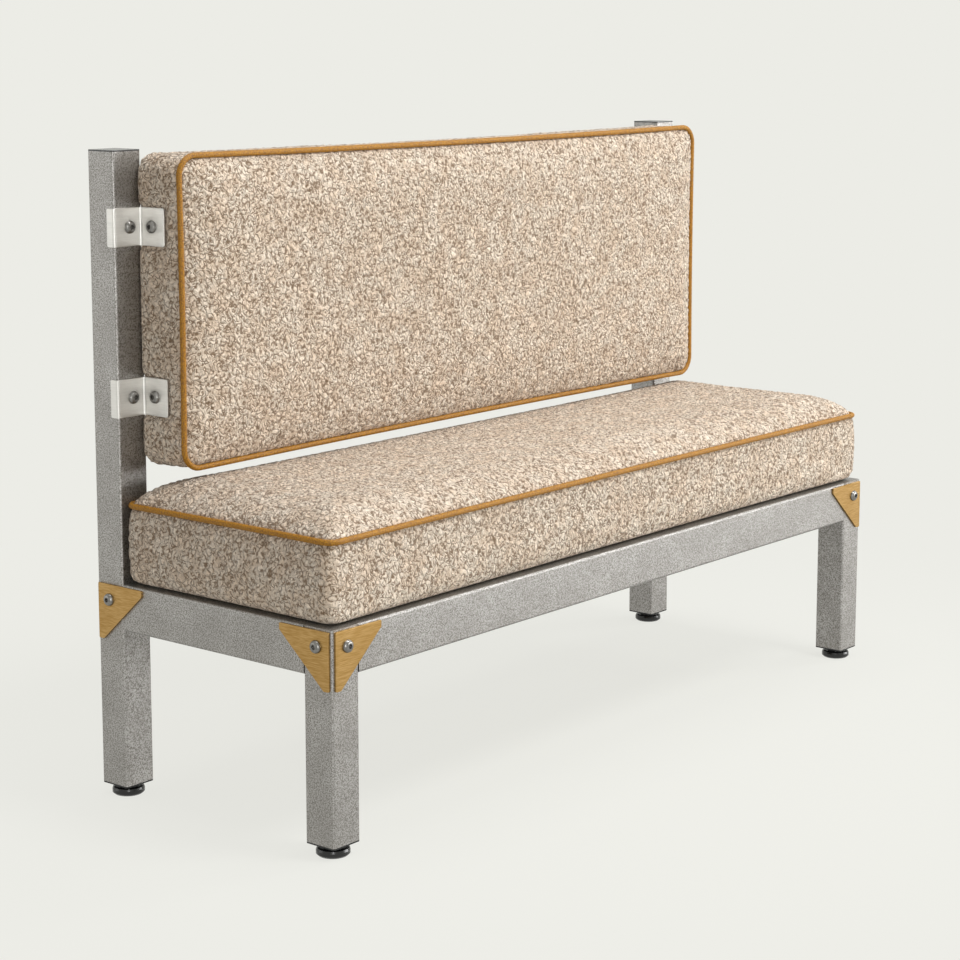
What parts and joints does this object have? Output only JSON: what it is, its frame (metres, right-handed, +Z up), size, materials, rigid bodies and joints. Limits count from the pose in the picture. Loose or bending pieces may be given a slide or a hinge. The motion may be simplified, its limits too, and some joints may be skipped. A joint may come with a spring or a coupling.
{
  "type": "restaurant booth bench",
  "caption": "Free-standing booth bench: square aluminium tube frame, brass corner gussets, piped seat pad and bracketed back pad, levelling feet.",
  "frame": {"origin": "on the floor under the middle of the frame's plan", "axes": "+Z up, +X along the bench's length towards its right end seen from the front, -Y out of the front"},
  "size_m": [1.316, 0.456, 0.895],
  "materials": {
    "tumbled_aluminium": "raw extruded aluminium tube, tumbled to a fine pitted satin",
    "satin_aluminium": "bent aluminium sheet, fine satin",
    "satin_brass": "brushed brass sheet, unlacquered",
    "stainless_screw": "stainless button-head screws, turned",
    "zinc_steel": "bright zinc plate",
    "black_plastic": "moulded black nylon, glossy",
    "black_rubber": "matt moulded rubber",
    "boucle_fabric": "cream and beige looped wool blend",
    "piping_fabric": "mustard cotton-covered piping cord",
    "birch_plywood": "sealed birch plywood",
    "softwood": "planed softwood"
  },
  "bodies": {
    "frame": {"back_board": "birch_plywood", "back_cushion": "boucle_fabric", "back_piping": "piping_fabric", "batten_inserts": "zinc_steel", "batten_screws": "zinc_steel", "bracket_pad_screws": "stainless_screw", "bracket_post_screws": "stainless_screw", "bracket_rivet_nuts": "zinc_steel", "centre_seat_bearer": "tumbled_aluminium", "foot_nuts": "zinc_steel", "front_rail": "tumbled_aluminium", "gusset_rivet_nuts": "zinc_steel", "gusset_screws": "stainless_screw", "left_back_batten": "softwood", "left_end_rail": "tumbled_aluminium", "left_front_end_gusset": "satin_brass", "left_front_gusset": "satin_brass", "left_front_leg": "tumbled_aluminium", "left_lower_bracket": "satin_aluminium", "left_rear_end_gusset": "satin_brass", "left_rear_gusset": "satin_brass", "left_rear_post": "tumbled_aluminium", "left_seat_bearer": "tumbled_aluminium", "left_upper_bracket": "satin_aluminium", "leg_caps": "tumbled_aluminium", "leg_end_plugs": "black_plastic", "post_top_plugs": "black_plastic", "rear_rail": "tumbled_aluminium", "right_back_batten": "softwood", "right_end_rail": "tumbled_aluminium", "right_front_end_gusset": "satin_brass", "right_front_gusset": "satin_brass", "right_front_leg": "tumbled_aluminium", "right_lower_bracket": "satin_aluminium", "right_rear_end_gusset": "satin_brass", "right_rear_gusset": "satin_brass", "right_rear_post": "tumbled_aluminium", "right_seat_bearer": "tumbled_aluminium", "right_upper_bracket": "satin_aluminium", "seat_board": "birch_plywood", "seat_board_screws": "zinc_steel", "seat_cushion": "boucle_fabric", "seat_piping": "piping_fabric", "seat_spacers": "black_rubber"},
    "left_front_foot": {"left_front_foot_glide": "black_plastic", "left_front_foot_stud": "zinc_steel"},
    "right_front_foot": {"right_front_foot_glide": "black_plastic", "right_front_foot_stud": "zinc_steel"},
    "left_rear_foot": {"left_rear_foot_glide": "black_plastic", "left_rear_foot_stud": "zinc_steel"},
    "right_rear_foot": {"right_rear_foot_glide": "black_plastic", "right_rear_foot_stud": "zinc_steel"}
  },
  "joints": [
    {"name": "left_front_foot_screw", "type": "slide", "parent": "frame", "child": "left_front_foot", "axis": [0, 0, -1], "range_m": [-0.002, 0.015]},
    {"name": "right_front_foot_screw", "type": "slide", "parent": "frame", "child": "right_front_foot", "axis": [0, 0, -1], "range_m": [-0.002, 0.015]},
    {"name": "left_rear_foot_screw", "type": "slide", "parent": "frame", "child": "left_rear_foot", "axis": [0, 0, -1], "range_m": [-0.002, 0.015]},
    {"name": "right_rear_foot_screw", "type": "slide", "parent": "frame", "child": "right_rear_foot", "axis": [0, 0, -1], "range_m": [-0.002, 0.015]}
  ]
}
